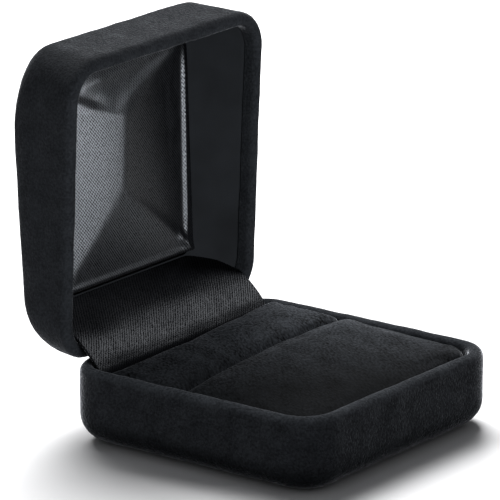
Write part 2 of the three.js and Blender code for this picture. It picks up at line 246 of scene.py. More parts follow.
def set_points(piece, points):
    piece.data.vertices.foreach_set("co", (points * MM).astype(np.float32).ravel())
    piece.data.update()


def roughen(piece, size, height, seed):
    """Moves the surface in and out, by lumps of that size and height in millimetres."""
    points = points_of(piece)
    normals = normals_of(piece)
    shift = Vector((seed * 17.3, seed * 5.1, seed * 9.7))
    lumps = np.array([noise.noise(Vector(p) / size + shift) for p in points])
    set_points(piece, points + normals * (lumps * height)[:, None])


def stand_on_floor(piece):
    points = points_of(piece)
    points[:, 2] = np.maximum(points[:, 2], 0)
    set_points(piece, points)


def to_open_lid(points):
    """From the lid drawn shut, with its rim on z = 0, to its place when open."""
    x, y, z = points.T
    out = y - HINGE_Y
    up = z + SEAM_GAP / 2
    cos, sin = math.cos(OPEN_ANGLE), math.sin(OPEN_ANGLE)
    return np.column_stack([x, HINGE_Y + cos * out + sin * up, HINGE_Z - sin * out + cos * up])


def paint(piece, material):
    """Gives the whole piece one material."""
    piece.data.materials.clear()
    piece.data.materials.append(material)
    piece.data.polygons.foreach_set("material_index", [0] * len(piece.data.polygons))


def finish_piece(piece, body, material, slot, *nodes):
    paint(piece, material)
    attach(piece, body)
    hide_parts(*nodes)


# ---- material nodes ----
# a mix node's colour sockets, which share their names with its other sockets
MIX_A, MIX_B, MIXED = 6, 7, 2


class Nodes:
    """A material's node tree, with a short way to add nodes and join them."""

    def __init__(self, name):
        self.material = bpy.data.materials.new(name)
        self.material.use_nodes = True
        self.tree = self.material.node_tree
        self.shader = self.tree.nodes["Principled BSDF"]
        self.place = self.add("ShaderNodeTexCoord").outputs["Object"]

    def add(self, kind, inputs=None, **settings):
        node = self.tree.nodes.new(kind)
        for key, value in settings.items():
            setattr(node, key, value)
        for key, value in (inputs or {}).items():
            self.put(node.inputs[key], value)
        return node

    def put(self, socket, value):
        if isinstance(value, bpy.types.NodeSocket):
            self.tree.links.new(value, socket)
        else:
            socket.default_value = value

    def set(self, **values):
        for key, value in values.items():
            self.put(self.shader.inputs[key.replace("_", " ")], value)

    def noise(self, size, detail=2.0, roughness=0.5, stretch=(1, 1, 1)):
        """Noise whose lumps are about `size` millimetres across."""
        scaled = self.add("ShaderNodeVectorMath", {0: self.place, 1: stretch}, operation="MULTIPLY")
        inputs = {"Vector": scaled.outputs[0], "Scale": 1 / (size * MM), "Detail": detail,
                  "Roughness": roughness}
        return self.add("ShaderNodeTexNoise", inputs).outputs["Fac"]

    def math(self, operation, a, b=0.0, clamp=False):
        node = self.add("ShaderNodeMath", {0: a, 1: b}, operation=operation)
        node.use_clamp = clamp
        return node.outputs[0]

    def span(self, value, low, high, new_low=0.0, new_high=1.0):
        """The value's range low to high, stretched to the new range."""
        inputs = {"Value": value, "From Min": low, "From Max": high, "To Min": new_low, "To Max": new_high}
        return self.add("ShaderNodeMapRange", inputs).outputs["Result"]

    def mix(self, share, a, b):
        node = self.add("ShaderNodeMix", data_type="RGBA")
        for socket, value in (("Factor", share), (MIX_A, a), (MIX_B, b)):
            self.put(node.inputs[socket], value)
        return node.outputs[MIXED]

    def along(self, direction):
        """How far a place is along a direction."""
        inputs = {0: self.place, 1: direction}
        return self.add("ShaderNodeVectorMath", inputs, operation="DOT_PRODUCT").outputs["Value"]

    def stripes(self, direction, period, waver=0.0):
        """Waves between 0 and 1 along a direction, `period` millimetres apart, that waver a little."""
        phase = self.math("MULTIPLY", self.along(direction), 2 * math.pi / (period * MM))
        shift = self.math("MULTIPLY", self.noise(1.6, detail=1), waver)
        wave = self.math("SINE", self.math("ADD", phase, shift))
        return self.span(wave, -1.0, 1.0)

    def about_middle(self, value, gain):
        """How far the value is from one half, times the gain."""
        return self.math("MULTIPLY", self.math("SUBTRACT", value, 0.5), gain)

    def bump(self, height, depth, strength):
        """Bumps `depth` millimetres high."""
        inputs = {"Height": height, "Distance": depth * MM, "Strength": strength}
        self.set(Normal=self.add("ShaderNodeBump", inputs).outputs["Normal"])


def grey(level, blue=1.0):
    """A neutral colour whose blue is raised by a factor, and its green by a part of it."""
    green_share = 0.4
    return (level, level * (1 + (blue - 1) * green_share), level * blue, 1)


PATCH_CONTRAST = 1.2
SHEEN_TOP = 1.4
# the pads' painted light: the velvet's colour and sheen grow lighter along a direction, over these distances,
# from the least share to the most
PAINTED_LIGHT_FROM = -18 * MM
PAINTED_LIGHT_TO = 22 * MM
PAINTED_LIGHT_LEAST = 0.17
PAINTED_LIGHT_MOST = 1.35
BRUSHED_STRETCH = 0.55
PAINTED_LIGHT_SHEEN_FLOOR = 0.04


def velvet(name, dark, light, sheen, fleck, brushed_and_lit_towards=None):
    """Black velvet: a short pile that lies different ways in patches and glows at its edges.

    Given a direction, the pile is drawn out along it, and its colour and sheen carry painted light that grows
    that way, towards where the lamps light the pads.
    """
    nodes = Nodes(name)
    painted_light = 1.0
    sheen_floor = 0.25 * sheen
    # painted light along the given direction, with the pile drawn out the same way
    if brushed_and_lit_towards:
        along = nodes.along(brushed_and_lit_towards)
        painted_light = nodes.span(along, PAINTED_LIGHT_FROM, PAINTED_LIGHT_TO, PAINTED_LIGHT_LEAST, PAINTED_LIGHT_MOST)
        sheen_floor = PAINTED_LIGHT_SHEEN_FLOOR
        aside = nodes.along((brushed_and_lit_towards[1], -brushed_and_lit_towards[0], 0))
        stretched = nodes.math("MULTIPLY", along, BRUSHED_STRETCH)
        nodes.place = nodes.add("ShaderNodeCombineXYZ", {"X": stretched, "Y": aside}).outputs[0]
    patches = nodes.noise(4, detail=3, roughness=0.6)
    flecks = nodes.span(nodes.noise(0.45, detail=2, roughness=0.6), 0.3, 0.7)
    shade = nodes.math("ADD", nodes.about_middle(patches, PATCH_CONTRAST),
                       nodes.about_middle(flecks, fleck))
    # the pile's patches and flecks, times the painted light
    pile_and_painted_light = nodes.math("MULTIPLY", nodes.math("ADD", shade, 0.5, clamp=True), painted_light)
    nodes.set(
        Base_Color=nodes.mix(pile_and_painted_light, grey(dark, 1.35), grey(light, 1.3)), Roughness=0.95,
        Specular_IOR_Level=0.04, Sheen_Roughness=0.25, Sheen_Tint=(0.9, 0.93, 1, 1),
        Sheen_Weight=nodes.span(pile_and_painted_light, 0.0, 1.0, sheen_floor, min(sheen * SHEEN_TOP, 1)))
    nodes.bump(flecks, depth=0.1, strength=0.6)
    return nodes.material


WALE_PERIOD = 0.46
BEAD_PERIOD = 0.52
SLUB_DARKENING = 0.7
SLUB_ROUGHENING = 0.03
SATIN_SPECULAR_LOW = 0.006
SATIN_SPECULAR_HIGH = 0.252


def satin(name, colour, wales, crossing, weave_depth, roughness, thread_turn, broken):
    """Satin that shines along its threads, with the fine slanting lines of its weave.

    Its lines follow one another along `wales`. A second set, along `crossing`, breaks them into
    grains by the share `broken`.
    """
    nodes = Nodes(name)
    lines = nodes.stripes(wales, WALE_PERIOD, waver=2.2)
    beads = nodes.stripes(crossing, BEAD_PERIOD, waver=3.5)
    slubs = nodes.noise(1.2, detail=2, stretch=(1, 0.3, 0.3))
    grain = nodes.span(nodes.noise(0.3, detail=1, roughness=0.6), 0.3, 0.7)
    rough = nodes.math("ADD", nodes.math("MULTIPLY", beads, 0.5), nodes.math("MULTIPLY", grain, 0.5))
    shade = nodes.math("ADD", nodes.math("MULTIPLY", lines, 1 - broken),
                       nodes.math("MULTIPLY", rough, broken))
    darker = tuple(SLUB_DARKENING * part for part in colour)
    nodes.set(
        Base_Color=nodes.mix(nodes.span(slubs, 0.35, 0.65), (*darker, 1), (*colour, 1)),
        Roughness=nodes.span(slubs, 0.3, 0.7, roughness - SLUB_ROUGHENING, roughness + SLUB_ROUGHENING),
        Specular_IOR_Level=nodes.span(shade, 0.3, 0.72, SATIN_SPECULAR_LOW, SATIN_SPECULAR_HIGH),
        Specular_Tint=(0.86, 0.93, 1, 1), Anisotropic=0.7, Anisotropic_Rotation=thread_turn,
        Tangent=nodes.add("ShaderNodeCombineXYZ", {"X": 1.0}).outputs[0])
    nodes.bump(shade, weave_depth, strength=0.8)
    return nodes.material


def lining_cloth(name):
    """Dull cloth over card, with a plain fine weave."""
    nodes = Nodes(name)
    weave = nodes.noise(0.25, detail=3, roughness=0.7)
    patches = nodes.noise(9, detail=2)
    nodes.set(
        Base_Color=nodes.mix(nodes.span(patches, 0.3, 0.7), grey(0.007, 1.35), grey(0.011, 1.35)),
        Roughness=0.85, Specular_IOR_Level=0.1, Sheen_Weight=0.03, Sheen_Roughness=0.4)
    nodes.bump(weave, depth=0.03, strength=0.6)
    return nodes.material


def nickel(name):
    """Pressed sheet steel, nickel plated, with fine rolling lines and small spots of wear."""
    nodes = Nodes(name)
    lines = nodes.noise(0.25, detail=3, stretch=(0.08, 1, 1))
    spots = nodes.noise(1.6, detail=3)
    nodes.set(
        Base_Color=nodes.mix(nodes.span(spots, 0.45, 0.7), (0.62, 0.62, 0.63, 1), (0.45, 0.43, 0.4, 1)),
        Metallic=1.0, Roughness=nodes.span(lines, 0.3, 0.7, 0.24, 0.42))
    nodes.bump(lines, depth=0.01, strength=0.5)
    return nodes.material


def moulded(name):
    nodes = Nodes(name)
    grain = nodes.noise(0.5, detail=3)
    nodes.set(
        Base_Color=nodes.mix(nodes.noise(6), grey(0.02), grey(0.032)),
        Roughness=nodes.span(grain, 0.3, 0.7, 0.5, 0.65))
    nodes.bump(grain, depth=0.03, strength=0.5)
    return nodes.material


def board(name):
    nodes = Nodes(name)
    fibres = nodes.noise(0.8, detail=4, stretch=(1, 0.2, 1))
    nodes.set(
        Base_Color=nodes.mix(nodes.span(fibres, 0.35, 0.7), (0.3, 0.25, 0.18, 1), (0.45, 0.4, 0.31, 1)),
        Roughness=0.92)
    nodes.bump(fibres, depth=0.05, strength=0.5)
    return nodes.material


def open_foam(name):
    nodes = Nodes(name)
    cell_size = 0.5 * MM
    cells = nodes.add("ShaderNodeTexVoronoi", {"Vector": nodes.place, "Scale": 1 / cell_size})
    share = nodes.span(cells.outputs["Distance"], 0.1, 0.6)
    nodes.set(Base_Color=nodes.mix(share, grey(0.2, 0.9), grey(0.42, 0.9)), Roughness=1.0)
    nodes.bump(cells.outputs["Distance"], depth=0.15, strength=0.7)
    return nodes.material


# ---- the base's and the lid's velvet ----
def base_bottom(offset, steps):
    radius = BOTTOM_ROUND - offset
    return [square_ring(offset + radius * (1 - math.sin(a)), offset + radius * (1 - math.cos(a)))
            for a in quarter(steps)]


def base_rim(outside, inside, steps):
    """The rounded rim, from outside over the top to the inside."""
    top = BASE_HEIGHT - outside
    outer_round = RIM_ROUND - outside
    inner_round = inside - RIM_ROUND
    outer = [square_ring(outside + outer_round * (1 - math.cos(a)), top - outer_round * (1 - math.sin(a)))
             for a in quarter(steps)]
    inner = [square_ring(RIM_ROUND + inner_round * math.sin(a), top - inner_round * (1 - math.cos(a)))
             for a in quarter(steps)]
    return outer + inner[1:]


def levels(lower, upper, steps):
    """Rings between two rings, without the two themselves."""
    return [lower + (upper - lower) * share for share in np.linspace(0, 1, steps + 1)[1:-1]]


def base_skin():
    bottom = base_bottom(0, 8)
    rim = base_rim(0, TURN_IN, 7)
    turn_in_end = BASE_HEIGHT - BASE_TURN_IN_DEPTH
    hem = square_ring(TURN_IN, turn_in_end)
    hem_back = square_ring(TURN_IN - SKIN, turn_in_end)
    inner_rim = base_rim(SKIN, TURN_IN - SKIN, 5)[::-1]
    inner_bottom = base_bottom(SKIN, 5)[::-1]
    rings = [
        *cap(bottom[0], 16)[::-1], *bottom, *levels(bottom[-1], rim[0], 12), *rim,
        *levels(rim[-1], hem, 5), hem, hem_back, *inner_rim,
        *levels(inner_rim[-1], inner_bottom[0], 5), *inner_bottom, *cap(inner_bottom[-1], 5)]
    return new_piece("base_velvet_cloth", *loft(rings))


def lid_top(y):
    share = (y + HALF_SIDE) / (2 * HALF_SIDE)
    return LID_FRONT_HEIGHT + (LID_REAR_HEIGHT - LID_FRONT_HEIGHT) * share


def lid_upper(offset, steps):
    radius = LID_EDGE_ROUND - offset
    shrink = radius / LID_EDGE_ROUND
    rings = []
    for a in quarter(steps):
        drawn_in = shrink * (1 - math.cos(a))
        corner = CORNER_RADIUS + (LID_TOP_CORNER - CORNER_RADIUS) * a / (math.pi / 2) - offset
        drop = offset + radius * (1 - math.sin(a))
        rings.append(ring(
            HALF_SIDE - offset - LID_ROUND_REACH["side"] * drawn_in,
            -HALF_SIDE + offset + LID_ROUND_REACH["front"] * drawn_in,
            HALF_SIDE - offset - LID_ROUND_REACH["rear"] * drawn_in,
            corner, lambda x, y, drop=drop: lid_top(y) - drop))
    return rings


def upside_down(rings):
    return [np.column_stack([line[:, :2], BASE_HEIGHT - line[:, 2]]) for line in rings]


def taper_sides(points):
    """The lid narrows from side to side as it rises."""
    tapered = points.copy()
    tapered[:, 0] *= 1 - LID_SIDE_TAPER * points[:, 2] / HALF_SIDE
    return tapered


def lid_skin():
    upper = lid_upper(0, 14)
    rim = upside_down(base_rim(0, TURN_IN, 7))
    hem = square_ring(TURN_IN, LID_TURN_IN_DEPTH)
    hem_back = square_ring(TURN_IN - SKIN, LID_TURN_IN_DEPTH)
    inner_rim = upside_down(base_rim(SKIN, TURN_IN - SKIN, 5))[::-1]
    inner_upper = lid_upper(SKIN, 8)
    rings = [
        *cap(upper[-1], 14, lambda x, y: lid_top(y))[::-1], *upper[::-1],
        *levels(upper[0], rim[0], 9), *rim, *levels(rim[-1], hem, 3), hem, hem_back, *inner_rim,
        *levels(inner_rim[-1], inner_upper[0], 4), *inner_upper,
        *cap(inner_upper[-1], 5, lambda x, y: lid_top(y) - SKIN)]
    points, faces = loft(rings)
    return new_piece("lid_velvet_cloth", taper_sides(points), faces)


def block(name, x0, x1, y0, y1, z0, z1):
    corners = [(x, y, z) for z in (z0, z1) for y in (y0, y1) for x in (x0, x1)]
    faces = [(0, 2, 3, 1), (4, 5, 7, 6), (0, 1, 5, 4), (2, 6, 7, 3), (0, 4, 6, 2), (1, 3, 7, 5)]
    return new_piece(name, corners, faces)


def rod(name, radius, half_length, y, z):
    """A rod along X."""
    angles = np.linspace(0, 2 * math.pi, ROD_SIDES + 1)[:-1]
    ends = [np.column_stack([np.full(ROD_SIDES, x), y + radius * np.cos(angles), z + radius * np.sin(angles)])
            for x in (-half_length, half_length)]
    return new_piece(name, *loft(ends))


def cut_away(piece, *cutters):
    """Cuts the cutters out of the piece, and removes them."""
    for cutter in cutters:
        cut = piece.modifiers.new("cut", "BOOLEAN")
        cut.operation = "DIFFERENCE"
        cut.solver = "MANIFOLD"
        cut.object = cutter
    graph = bpy.context.evaluated_depsgraph_get()
    mesh = bpy.data.meshes.new_from_object(piece.evaluated_get(graph))
    piece.modifiers.clear()
    piece.data = mesh
    for cutter in cutters:
        bpy.data.objects.remove(cutter)
    mesh.shade_smooth()
    mesh.set_sharp_from_angle(angle=math.radians(50))


def cut_hinge_room(piece, mirrored):
    """The room for the hinge at the rear rim, seen from the base or, mirrored, from the lid."""
    def height(z):
        return BASE_HEIGHT - z if mirrored else z

    half = HINGE_ROOM_HALF
    over_pin = height(HINGE_Z + ROOM_ABOVE_PIN)
    leaf_ends = sorted((height(LEAF_ROOM_BOTTOM), over_pin))
    shelf_ends = sorted((height(HINGE_Z - SHELF_BELOW_PIN), over_pin))
    cut_away(
        piece,
        rod("knuckle_room", KNUCKLE_ROOM, half, HINGE_Y, height(HINGE_Z)),
        block("leaf_room", -half, half, LEAF_ROOM_FRONT, LEAF_ROOM_REAR, *leaf_ends),
        block("shelf_room", -half, half, LEAF_ROOM_FRONT, HINGE_Y, *shelf_ends))


# ---- the lid's lining ----
LINING_START = LID_TURN_IN_DEPTH + 0.3
LINING_THICKNESS = 0.6
LINING_PAST_TURN_IN = 0.15
LINING_ROUND_PANEL = 0.6
LINING_TOP_CORNER = 3
LINING_BEHIND_TOP = 3.4
LINING_HEM = 0.25
HINGE_SPACE_FRONT = PANEL_REAR + 1
HINGE_SPACE_HEIGHT = 6.4


def lining_ring(share, outward):
    lower = TURN_IN - LINING_PAST_TURN_IN - outward
    margin = LINING_ROUND_PANEL + outward

    def between(start, end):
        return start + (end - start) * share

    band = ring(
        between(HALF_SIDE - lower, PANEL_FULL_HALF + margin),
        between(-HALF_SIDE + lower, PANEL_FRONT - margin),
        between(HALF_SIDE - lower, PANEL_REAR + margin),
        between(CORNER_RADIUS - lower, LINING_TOP_CORNER + outward),
        lambda x, y: between(LINING_START, lid_top(y) - LINING_BEHIND_TOP))
    band[:, 0] *= 1 - share * PANEL_NARROWING / PANEL_FULL_HALF * band[:, 1] / PANEL_FOOT
    return band


def lining():
    steps = 16
    face = [lining_ring(step / steps, 0) for step in range(steps + 1)]
    back = [lining_ring(step / steps, LINING_THICKNESS) for step in range(steps + 1)]
    hem_mid = (face[0] + back[0]) / 2
    hem_mid[:, 2] -= LINING_HEM
    rings = [*face, *back[::-1], hem_mid]
    points, _ = loft(rings)
    count = len(face[0])
    faces = []
    for row in range(len(rings)):
        for step in range(count):
            a = row * count + step
            b = row * count + (step + 1) % count
            following = count if row + 1 < len(rings) else -row * count
            faces.append((a, b, b + following, a + following))
    piece = new_piece("lid_lining_cloth", taper_sides(points), faces)
    cut_away(piece, block("hinge_space", -HINGE_ROOM_HALF, HINGE_ROOM_HALF,
                          HINGE_SPACE_FRONT, HALF_SIDE, 0, HINGE_SPACE_HEIGHT))
    return piece


# ---- the satin panel ----
PANEL_TILT = math.atan((LID_FRONT_HEIGHT - LID_REAR_HEIGHT) / (2 * HALF_SIDE))
PANEL_MIDDLE = (PANEL_FRONT + PANEL_REAR) / 2
PANEL_EDGE_ROUND = 0.8
PANEL_HEAD = -20.5
PANEL_FOOT = 21.3
PANEL_FULL_HALF = 21.2
PANEL_NARROWING = 0.9
PANEL_RISE = 2.6
RIDGE_SOFTNESS = 0.035
FULL_PUFF = 0.4
HOLLOW_PUFF = -0.25

# the ridge where the side faces meet, and where it starts and ends
RIDGE_HEAD = (-0.4, -9.9)
RIDGE_FOOT = (-2.4, 4.0)

# tension folds, each from a corner of the panel: start, end, height and half width
FOLDS = [
    ((21, -20.5), (-12, -17), 0.36, 1.1),
    ((21, -20.5), (-3, -11.5), 0.22, 1.2),
    ((-24, -22), (-4, -12.4), -0.17, 1.3),
    ((21, 21.5), (-2, 5), 0.2, 1.4),
    ((22, 22.5), (15, 16.5), 0.35, 0.9),
    ((-24, 20.4), (24, 20.4), 0.3, 0.6),
    ((19.9, -24), (18.2, 24), 0.4, 0.9),
]
FOLD_FADE = 1.7

# the comb of fine puckers along the panel's right edge
COMB_AT = 19.6
COMB_HALF_WIDTH = 1.1
COMB_PERIOD = 0.95
COMB_HEIGHT = 0.04
COMB_WAVER = 0.6
COMB_WAVER_RATE = 1.7


def soft_least(values, softness):
    """The least of several numbers, rounded off where they meet."""
    values = np.array(values)
    return -softness * np.log(np.exp(-values / softness).sum(axis=0))


def fold_height(x, y):
    """The small folds that the satin's pull makes out of its corners and along its edges."""
    total = np.zeros_like(x)
    for (x0, y0), (x1, y1), height, half_width in FOLDS:
        length = math.hypot(x1 - x0, y1 - y0)
        along_x, along_y = (x1 - x0) / length, (y1 - y0) / length
        along = ((x - x0) * along_x + (y - y0) * along_y) / length
        aside = (x - x0) * along_y - (y - y0) * along_x
        fade = np.clip(FOLD_FADE * np.sin(math.pi * np.clip(along, 0, 1)), 0, 1)
        total += height * fade * np.exp(-(aside / half_width) ** 2)
    waver = COMB_WAVER * np.sin(y * COMB_WAVER_RATE)
    pucker = COMB_HEIGHT * np.sin(2 * math.pi * y / COMB_PERIOD + waver)
    return total + pucker * np.exp(-((x - COMB_AT) / COMB_HALF_WIDTH) ** 2)


def puffed(share, puff):
    """A face's height from its edge to the ridge, full when puff is over 0 and hollow when under."""
    return (1 - puff) * share + puff * np.sin(np.clip(share, 0, 1) * math.pi / 2)


def panel_rise(x, y):
    """How far the satin stands above the panel's edge: four faces that meet at a ridge."""
    (head_x, head_y), (foot_x, foot_y) = RIDGE_HEAD, RIDGE_FOOT
    ridge_x = head_x + (foot_x - head_x) * np.clip((y - head_y) / (foot_y - head_y), 0, 1)
    from_left = (x + PANEL_FULL_HALF) / (ridge_x + PANEL_FULL_HALF)
    from_right = (PANEL_FULL_HALF - x) / (PANEL_FULL_HALF - ridge_x)
    from_foot = (PANEL_FOOT - y) / (PANEL_FOOT - foot_y)
    from_head = (y - PANEL_HEAD) / (head_y - PANEL_HEAD)
    faces = [puffed(from_left, FULL_PUFF), puffed(from_right, HOLLOW_PUFF),
             puffed(from_foot, FULL_PUFF), puffed(from_head, HOLLOW_PUFF)]
    share = np.clip(soft_least(faces, RIDGE_SOFTNESS), 0, 1)
    return PANEL_RISE * share + fold_height(x, y)


def panel_point(x, y, height):
    """From the panel's own drawing, face down, to the lid drawn shut."""
    cos, sin = math.cos(-PANEL_TILT), math.sin(-PANEL_TILT)
    return np.column_stack([
        x, PANEL_MIDDLE + cos * y - sin * height, lid_top(PANEL_MIDDLE) + sin * y + cos * height])


def satin_panel():
    steps = 150
    across = np.linspace(-1, 1, steps + 1)
    grid_x, grid_y = np.meshgrid(across, across, indexing="ij")
    u, v = grid_x.ravel(), grid_y.ravel()
    x = u * PANEL_FULL_HALF
    y = PANEL_HEAD + (PANEL_FOOT - PANEL_HEAD) * (v + 1) / 2
    edge = np.minimum(PANEL_FULL_HALF - abs(x), np.minimum(PANEL_FOOT - y, y - PANEL_HEAD))
    roll = np.clip(edge / PANEL_EDGE_ROUND, 0, 1)
    drop = PANEL_EDGE_ROUND * (1 - np.sqrt(1 - (1 - roll) ** 2))
    height = -PANEL_BEHIND_TOP - panel_rise(x, y) + drop
    x = x - u * PANEL_NARROWING * v
    face = panel_point(x, y, height)
    back = panel_point(x, y, np.full(len(x), -PANEL_BACK_BEHIND_TOP))
    return new_piece("satin_panel_cloth", np.vstack([face, back]), two_sided(steps, steps))


# ---- the pads ----
def pad_top(pad, x, y):
    front_y, front_height = pad["front"][:2]
    rear_y, rear_height = pad["rear"][:2]
    ramp = front_height + (rear_height - front_height) * (y - front_y) / (rear_y - front_y)
    reach = max(pad["peak"] - front_y, rear_y - pad["peak"])
    bulge = (1 - (x / PAD_HALF_WIDTH) ** 2) * (1 - ((y - pad["peak"]) / reach) ** 2)
    return ramp + pad["crown"] * bulge


def pad_ring(pad, offset, share, drop):
    front_y, _, front_corner, front_round = pad["front"]
    rear_y, _, rear_corner, rear_round = pad["rear"]
    front_inset = offset + front_round * share
    rear_inset = offset + rear_round * share
    corners = (max(front_corner - front_inset, LEAST_PAD_CORNER),
               max(rear_corner - rear_inset, LEAST_PAD_CORNER))
    return ring(
        PAD_HALF_WIDTH - offset - WALL_ROUND * share, front_y + front_inset, rear_y - rear_inset,
        corners, lambda x, y: pad_top(pad, x, y) - drop)


def pad_body(name, pad, offset):
    """A pad as a closed body, set in by the offset, or made larger where the offset is under 0."""
    edge = [pad_ring(pad, offset, 1 - math.cos(a), offset + (WALL_ROUND - offset) * (1 - math.sin(a)))
            for a in quarter(6)]
    foot = edge[0].copy()
    foot[:, 2] = PAD_BOTTOM
    top = cap(edge[-1], 10, lambda x, y: pad_top(pad, x, y) - offset)
    return new_piece(name, *loft([*cap(foot, 6)[::-1], foot, *levels(foot, edge[0], 6), *edge, *top]))


PAD_VOXEL = 0.8
PAD_PRESSURE = 4.0
PAD_STIFFNESS = 0.6
PAD_FURTHEST = 0.4
HELD_HEIGHT = 1.2

# the cloth is solved at this many times its size
SIM_SCALE = 10
SIM_FRAMES = 20


def remesh(piece, voxel):
    modifier = piece.modifiers.new("remesh", "REMESH")
    modifier.mode = "VOXEL"
    modifier.voxel_size = voxel * MM
    keep_evaluated(piece)


def keep_evaluated(piece):
    """Puts the piece's mesh with its modifiers applied in place of its own."""
    graph = bpy.context.evaluated_depsgraph_get()
    mesh = bpy.data.meshes.new_from_object(piece.evaluated_get(graph))
    piece.modifiers.clear()
    piece.data = mesh
    mesh.shade_smooth()


def swell(piece, pressure, furthest):
    """Lets the cloth swell under pressure, held at its foot, by at most `furthest` millimetres."""
    before = points_of(piece)
    set_points(piece, before * SIM_SCALE)
    held = piece.vertex_groups.new(name="held")
    foot = np.flatnonzero(before[:, 2] < PAD_BOTTOM + HELD_HEIGHT)
    held.add([int(i) for i in foot], 1.0, "REPLACE")
    cloth = piece.modifiers.new("Cloth", "CLOTH")
    cloth.settings.vertex_group_mass = "held"
    cloth.settings.use_pressure = True
    cloth.settings.uniform_pressure_force = pressure
    cloth.settings.effector_weights.gravity = 0
    cloth.settings.bending_stiffness = PAD_STIFFNESS
    cloth.point_cache.frame_start = 1
    cloth.point_cache.frame_end = SIM_FRAMES
    for number in range(1, SIM_FRAMES + 1):
        bpy.context.scene.frame_set(number)
    keep_evaluated(piece)
    bpy.context.scene.frame_set(1)
    moved = points_of(piece) / SIM_SCALE - before
    length = np.linalg.norm(moved, axis=1)
    moved *= np.minimum(1, furthest / np.maximum(length, 1e-9))[:, None]
    set_points(piece, before + moved)


def lean(piece):
    """The insert sits a little higher on its right."""
    points = points_of(piece)
    height = np.clip((points[:, 2] - PAD_BOTTOM) / (BASE_HEIGHT - PAD_BOTTOM), 0, 1)
    lift = np.where(points[:, 0] > 0, LEAN_RIGHT, LEAN_LEFT)
    points[:, 2] += lift * height * points[:, 0] / PAD_HALF_WIDTH
    set_points(piece, points)


def pad(name, shape, material, *nodes):
    piece = pad_body(name, shape, PAD_SET_IN)
    remesh(piece, PAD_VOXEL)
    swell(piece, PAD_PRESSURE, PAD_FURTHEST)
    smooth = piece.modifiers.new("fine", "SUBSURF")
    smooth.levels = smooth.render_levels = 1
    keep_evaluated(piece)
    lean(piece)
    roughen(piece, size=8, height=0.2, seed=3)
    roughen(piece, size=1.5, height=0.03, seed=4)
    finish_piece(piece, "base", material, "velvet", *nodes)


# ---- the apron over the hinge ----
SPLINE_STEPS = 20


def spline(points, steps):
    """A smooth line through the points, as even steps."""
    points = np.array(points, float)
    ends = np.vstack([2 * points[0] - points[1], points, 2 * points[-1] - points[-2]])
    line = []
    for a, b, c, d in zip(ends, ends[1:], ends[2:], ends[3:]):
        for t in np.linspace(0, 1, SPLINE_STEPS, endpoint=False):
            line.append(0.5 * (2 * b + (c - a) * t + (2 * a - 5 * b + 4 * c - d) * t ** 2
                               + (3 * b - a - 3 * c + d) * t ** 3))
    line = np.array(line + [points[-1]])
    lengths = np.concatenate([[0], np.cumsum(np.linalg.norm(np.diff(line, axis=0), axis=1))])
    even = np.linspace(0, lengths[-1], steps + 1)
    return np.column_stack([np.interp(even, lengths, line[:, 0]), np.interp(even, lengths, line[:, 1])])


def slope_of(line):
    """The direction of a line at each of its points."""
    slope = np.gradient(line, axis=0)
    return slope / np.linalg.norm(slope, axis=1)[:, None]


def thick_strip(name, sheet, slope, across, thickness):
    """A strip given as rows of points across it, with the direction of its length at each row."""
    normal = np.column_stack([np.zeros(len(slope)), slope[:, 1], -slope[:, 0]])
    half = np.repeat(normal, across + 1, axis=0) * thickness / 2
    return new_piece(name, np.vstack([sheet + half, sheet - half]), two_sided(len(slope) - 1, across))


def apron_slack(x, y, z):
    """How far each point of a row stands off the apron's line: most at half height."""
    slack = APRON_SLACK * math.sin(math.pi * min(max((z - APRON_SLACK_FROM) / APRON_SLACK_HEIGHT, 0), 1))
    return np.array([
        slack * noise.noise(Vector((px, y * RIPPLE_STRETCH, RIPPLE_SEED)) / RIPPLE_SIZE) for px in x])


def apron(material):
    along = 60
    across = 110
    line = spline(APRON_LINE, along)
    slope = slope_of(line)
    rows = []
    for (y, z), (dy, dz) in zip(line, slope):
        narrowing = max(y - APRON_NARROWS_FROM, 0) / (APRON_LINE[0][0] - APRON_NARROWS_FROM)
        half = APRON_HALF_WIDTH + (APRON_UPPER_HALF_WIDTH - APRON_HALF_WIDTH) * narrowing
        x = np.linspace(-half, half, across + 1)
        ripple = apron_slack(x, y, z)
        rows.append(np.column_stack([x, y + dz * ripple, z - dy * ripple]))
    piece = thick_strip("apron_cloth", np.vstack(rows), slope, across, APRON_THICKNESS)
    piece.data.materials.append(material)
    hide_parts("hinge_apron")
    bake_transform(piece)


# ---- the snap spring, a flat strip bent round the hinge to the open lid ----
SPRING_HALF_WIDTH = 4
SPRING_THICKNESS = 0.3
SPRING_INSET = 2.3
SPRING_REACH = 5
BEND_STEPS = 24
REACH_STEPS = 8


def snap_spring(material):
    across = 8
    angles = np.linspace(math.pi, math.pi - OPEN_ANGLE, BEND_STEPS + 1)
    bend = SPRING_INSET * np.column_stack([np.cos(angles), np.sin(angles)]) + (HINGE_Y, HINGE_Z)
    foot = bend[0] - np.outer(np.linspace(SPRING_REACH, 0, REACH_STEPS + 1)[:-1], [0, 1])
    onward = np.array([math.sin(OPEN_ANGLE), math.cos(OPEN_ANGLE)])
    head = bend[-1] + np.outer(np.linspace(0, SPRING_REACH, REACH_STEPS + 1)[1:], onward)
    line = np.vstack([foot, bend, head])
    x = np.linspace(-SPRING_HALF_WIDTH, SPRING_HALF_WIDTH, across + 1)
    sheet = np.vstack([np.column_stack([x, np.full(len(x), y), np.full(len(x), z)]) for y, z in line])
    piece = thick_strip("snap_spring", sheet, slope_of(line), across, SPRING_THICKNESS)
    piece.data.materials.append(material)
    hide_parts("hinge_spring")
    start = metres((0, *bend[0]))
    end = metres((0, *bend[-1]))
    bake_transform(piece)


